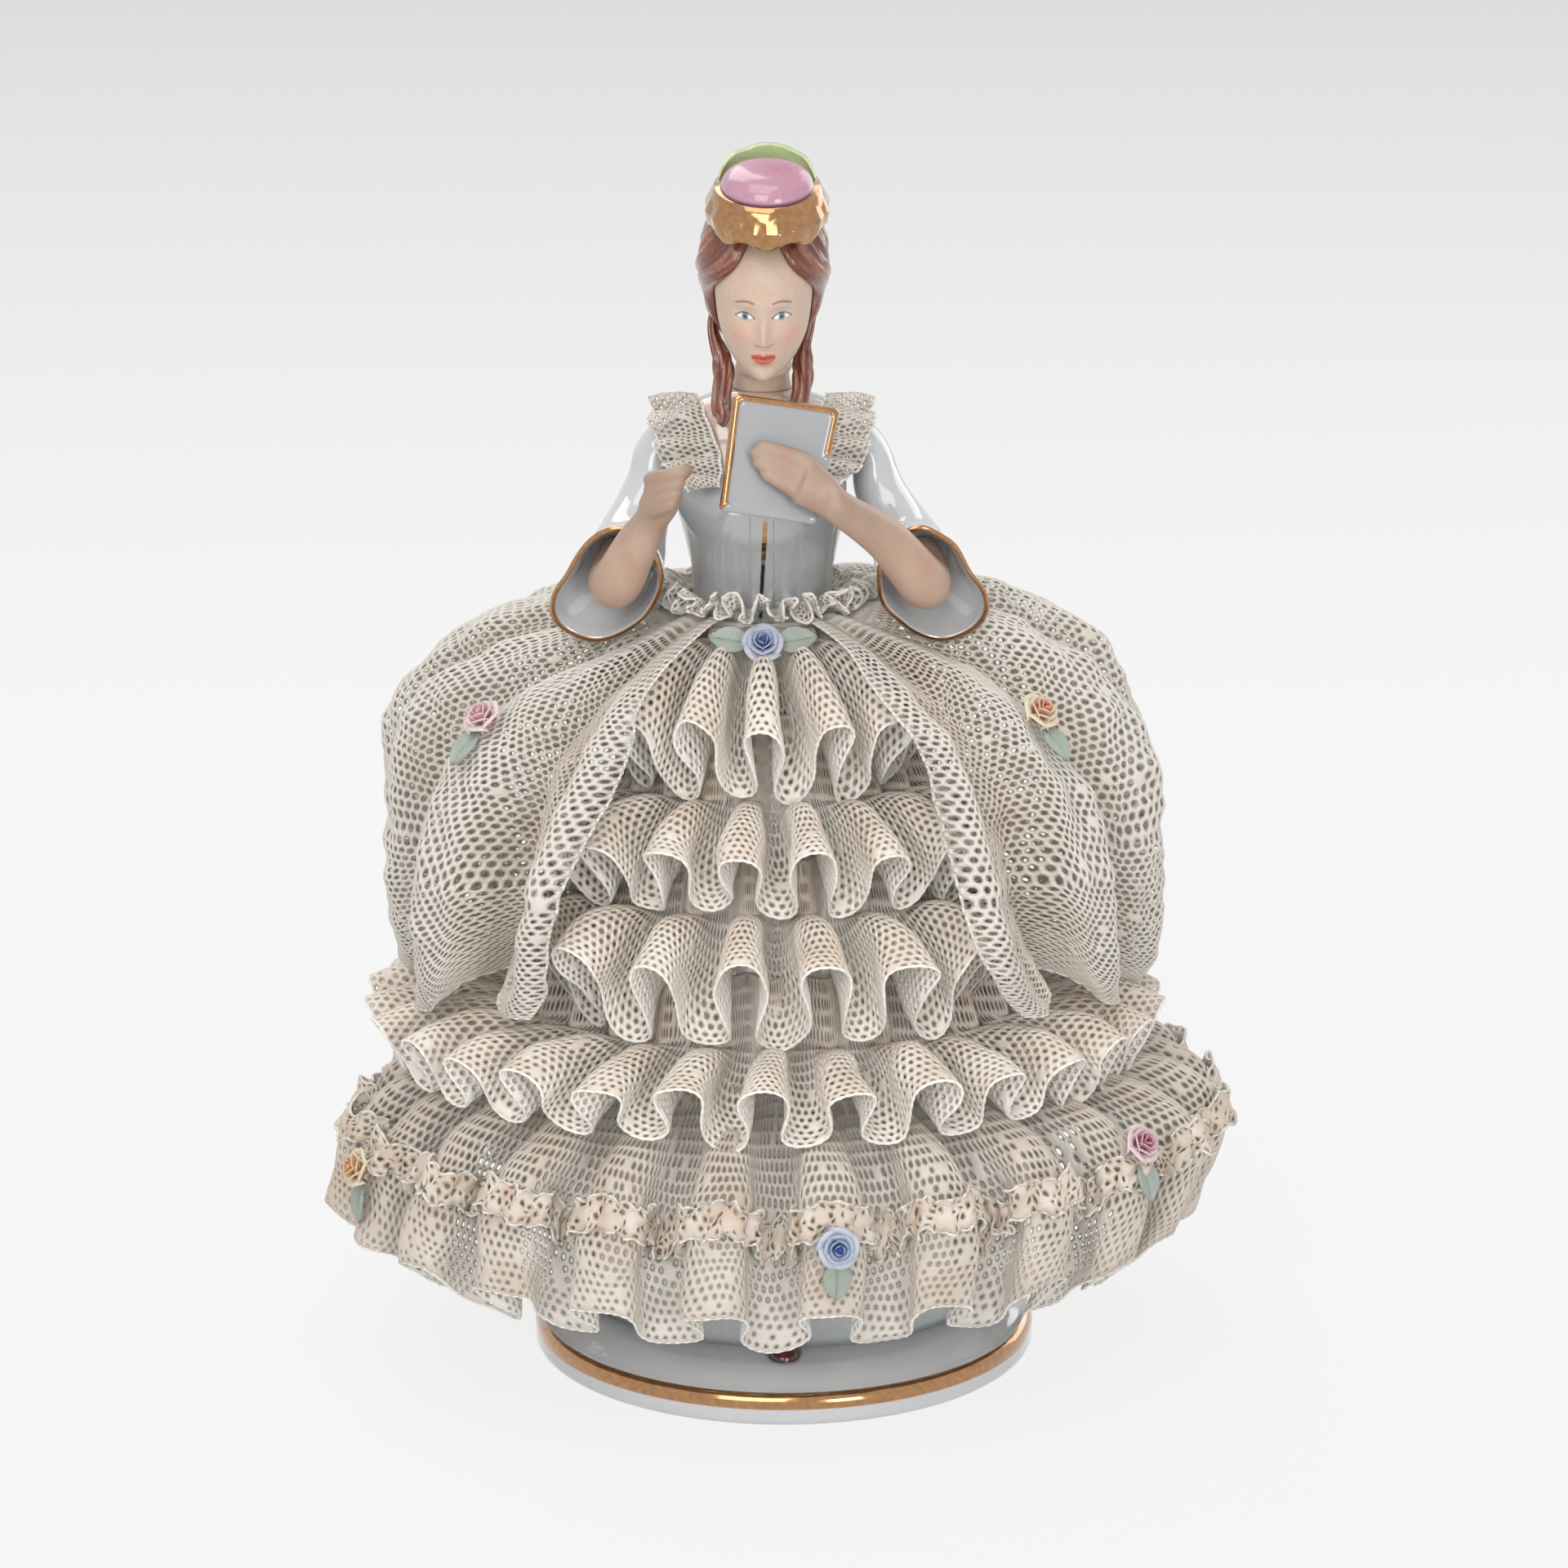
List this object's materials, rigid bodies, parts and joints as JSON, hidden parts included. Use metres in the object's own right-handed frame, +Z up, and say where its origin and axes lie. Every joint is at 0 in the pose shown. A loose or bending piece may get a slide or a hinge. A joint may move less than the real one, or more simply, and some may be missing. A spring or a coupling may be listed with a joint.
{
  "type": "porcelain figurine",
  "caption": "Porcelain figurine of a lady in a tiered lace crinoline gown with puffed panniers, reading a letter on a round gilt-banded plinth; a free-standing ornament.",
  "frame": {"origin": "centre of the plinth's flat foot", "axes": "+Z up, the lady faces -Y, +X is her left"},
  "size_m": [0.145, 0.1232, 0.2006],
  "materials": {
    "white_glaze": "clear gloss glaze, gilt edges",
    "core_glaze": "gloss glaze",
    "slipper_paint": "dark red on glaze",
    "lace": "fired lace, satin",
    "lace_trim": "fired lace, tan tint",
    "flesh_bisque": "satin flesh tint",
    "hair_paint": "brushed auburn",
    "gold_lustre": "burnished gold lustre",
    "hat_pink": "gloss pink",
    "hat_green": "gloss light green",
    "leaf_paint": "grey green",
    "rose_blue": "blue wash",
    "rose_yellow": "yellow wash",
    "rose_pink": "pink wash"
  },
  "bodies": {
    "root": {"base": "white_glaze", "slipper_toe": "slipper_paint", "skirt_core": "core_glaze", "flounce_1": "lace", "flounce_2": "lace", "flounce_3": "lace", "flounce_4_front": "lace", "flounce_4_back": "lace", "flounce_5_front": "lace", "flounce_5_left": "lace", "flounce_5_right": "lace", "hem_trim_front": "lace_trim", "hem_trim_left": "lace_trim", "hem_trim_right": "lace_trim", "pannier_left": "lace", "pannier_right": "lace", "back_drape": "lace", "waist_frill": "lace", "bodice": "white_glaze", "collar_left": "lace", "collar_right": "lace", "head": "flesh_bisque", "hair": "hair_paint", "ringlet_left": "hair_paint", "ringlet_right": "hair_paint", "hat_diadem": "gold_lustre", "hat_crown": "hat_pink", "hat_leaf": "hat_green", "sleeve_left": "white_glaze", "sleeve_right": "white_glaze", "arm_left": "flesh_bisque", "arm_right": "flesh_bisque", "letter": "white_glaze", "rose_waist": "rose_blue", "leaf_waist_left": "leaf_paint", "leaf_waist_right": "leaf_paint", "rose_pannier_left": "rose_yellow", "leaf_pannier_left": "leaf_paint", "rose_pannier_right": "rose_pink", "leaf_pannier_right": "leaf_paint", "rose_hem_front": "rose_blue", "leaf_hem_front": "leaf_paint", "rose_hem_left": "rose_pink", "leaf_hem_left": "leaf_paint", "rose_hem_right": "rose_yellow", "leaf_hem_right": "leaf_paint"}
  },
  "joints": []
}
